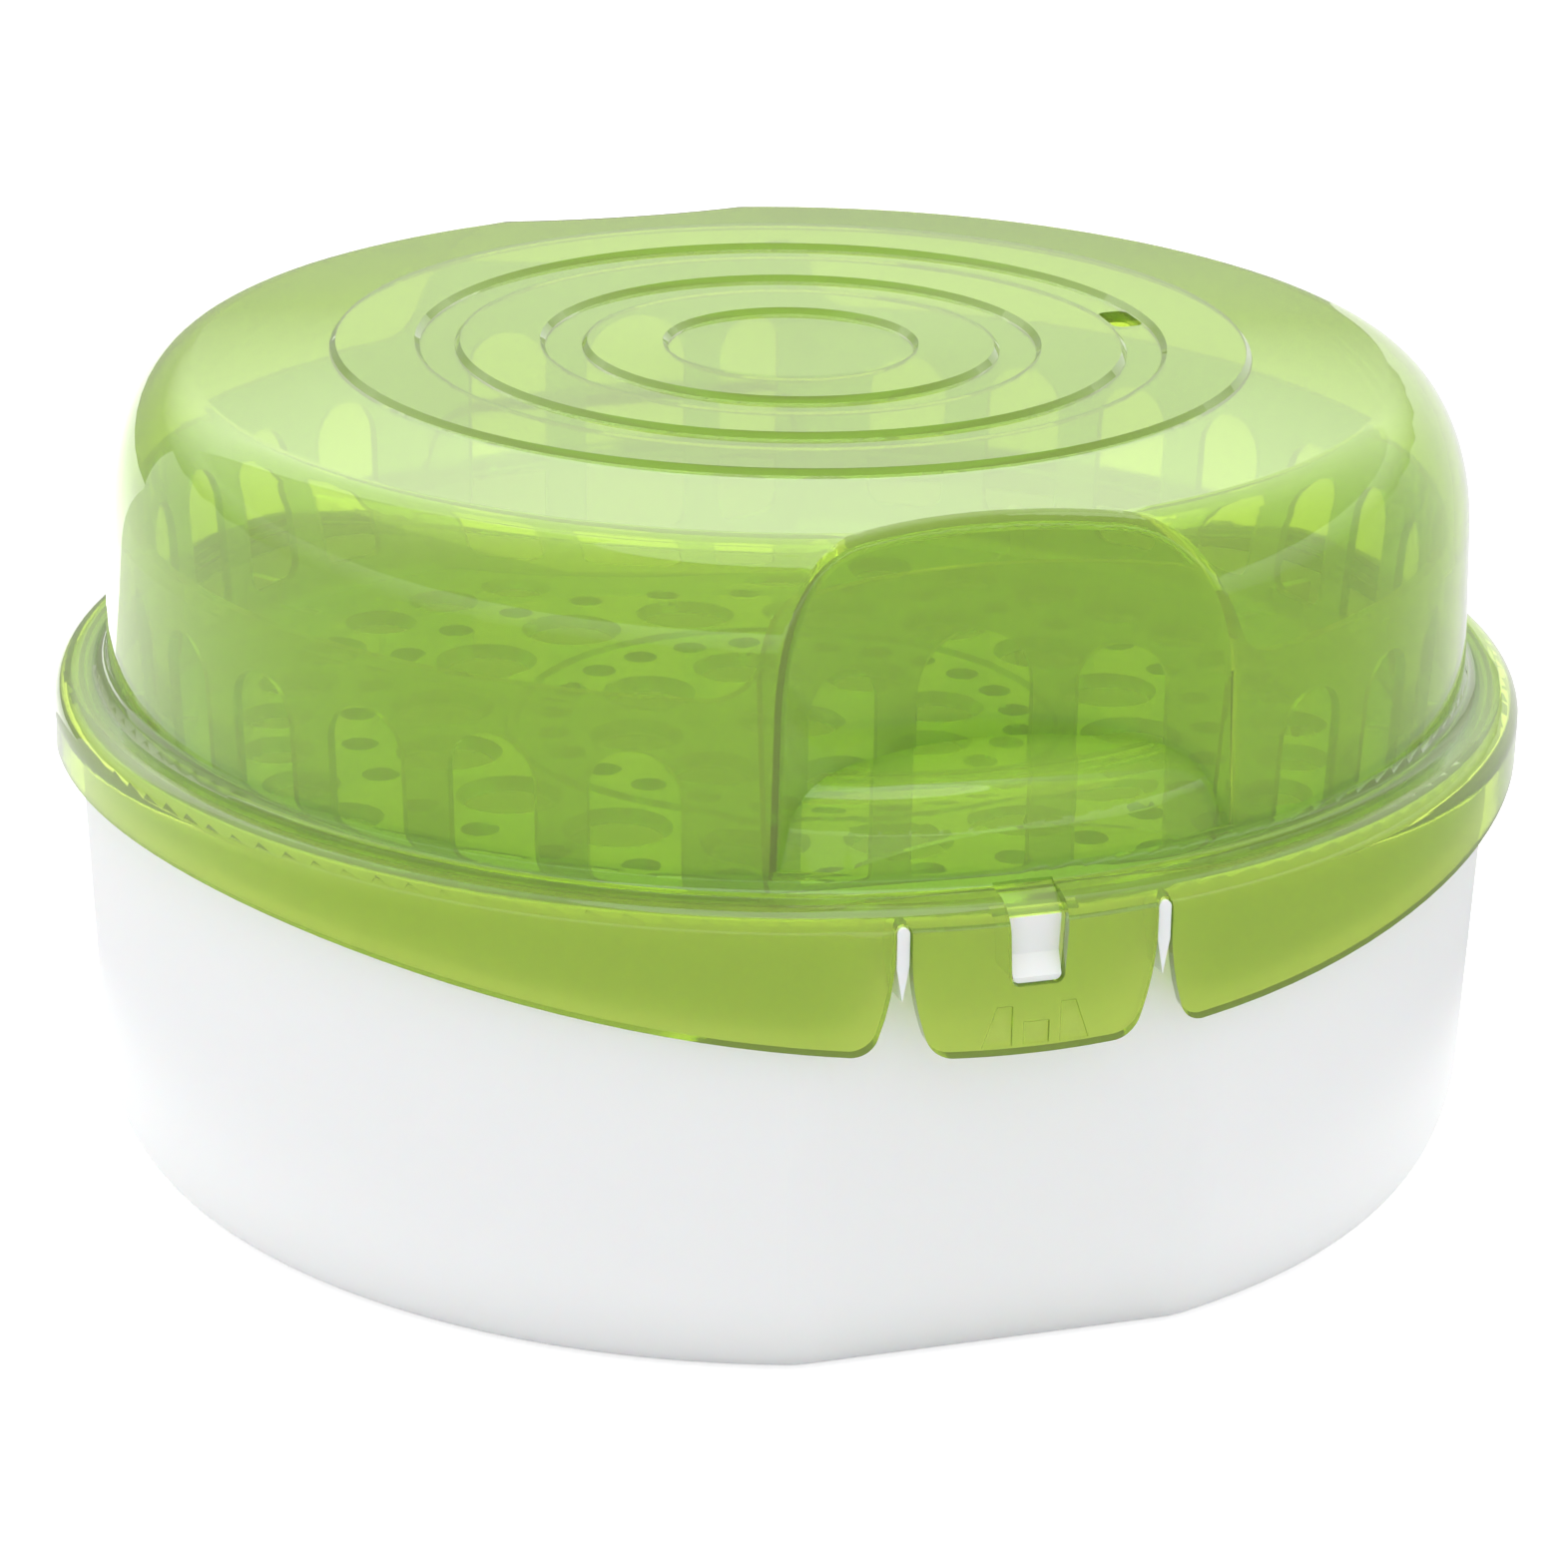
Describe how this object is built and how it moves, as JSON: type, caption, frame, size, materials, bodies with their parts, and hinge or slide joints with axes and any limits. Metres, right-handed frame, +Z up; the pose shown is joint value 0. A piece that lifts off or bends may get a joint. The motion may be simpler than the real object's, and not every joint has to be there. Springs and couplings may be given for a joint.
{
  "type": "microwave sterilizer",
  "caption": "Round steam sterilizer for baby bottles, with a white bowl, a lift-out perforated rack and a domed green lid held by sprung latch tabs.",
  "frame": {"origin": "centre of the bowl's underside, on the surface it stands on", "axes": "+Z up; the latch tabs and finger pockets look along -Y (front) and +Y (rear); the steam vent is on the +X side"},
  "size_m": [0.2848, 0.2846, 0.1559],
  "materials": {
    "bowl_polypropylene": "white injection-moulded polypropylene, fine satin",
    "rack_polypropylene": "translucent green injection-moulded polypropylene, glossy",
    "lid_polypropylene": "clear green injection-moulded polypropylene, polished"
  },
  "bodies": {
    "base": {"base_bowl": "bowl_polypropylene"},
    "rack": {"bottle_rack": "rack_polypropylene"},
    "lid": {"lid_dome": "lid_polypropylene"},
    "front_latch": {"front_latch_tab": "lid_polypropylene"},
    "rear_latch": {"rear_latch_tab": "lid_polypropylene"}
  },
  "joints": [
    {"name": "lid_lift", "type": "slide", "parent": "base", "child": "lid", "axis": [0, 0, 1], "range_m": [0, 0.2]},
    {"name": "rack_lift", "type": "slide", "parent": "base", "child": "rack", "axis": [0, 0, 1], "range_m": [0, 0.1]},
    {"name": "front_latch_flex", "type": "hinge", "parent": "lid", "child": "front_latch", "pos_m": [0, -0.1425, 0.08955], "axis": [-1, 0, 0], "range_deg": [0, 8], "stiffness_Nm_per_rad": 0.1},
    {"name": "rear_latch_flex", "type": "hinge", "parent": "lid", "child": "rear_latch", "pos_m": [0, 0.1425, 0.08955], "axis": [1, 0, 0], "range_deg": [0, 8], "stiffness_Nm_per_rad": 0.1}
  ],
  "couplings": [
    {"joint": "rack_lift", "follows": "lid_lift", "ratio": 0.5}
  ]
}
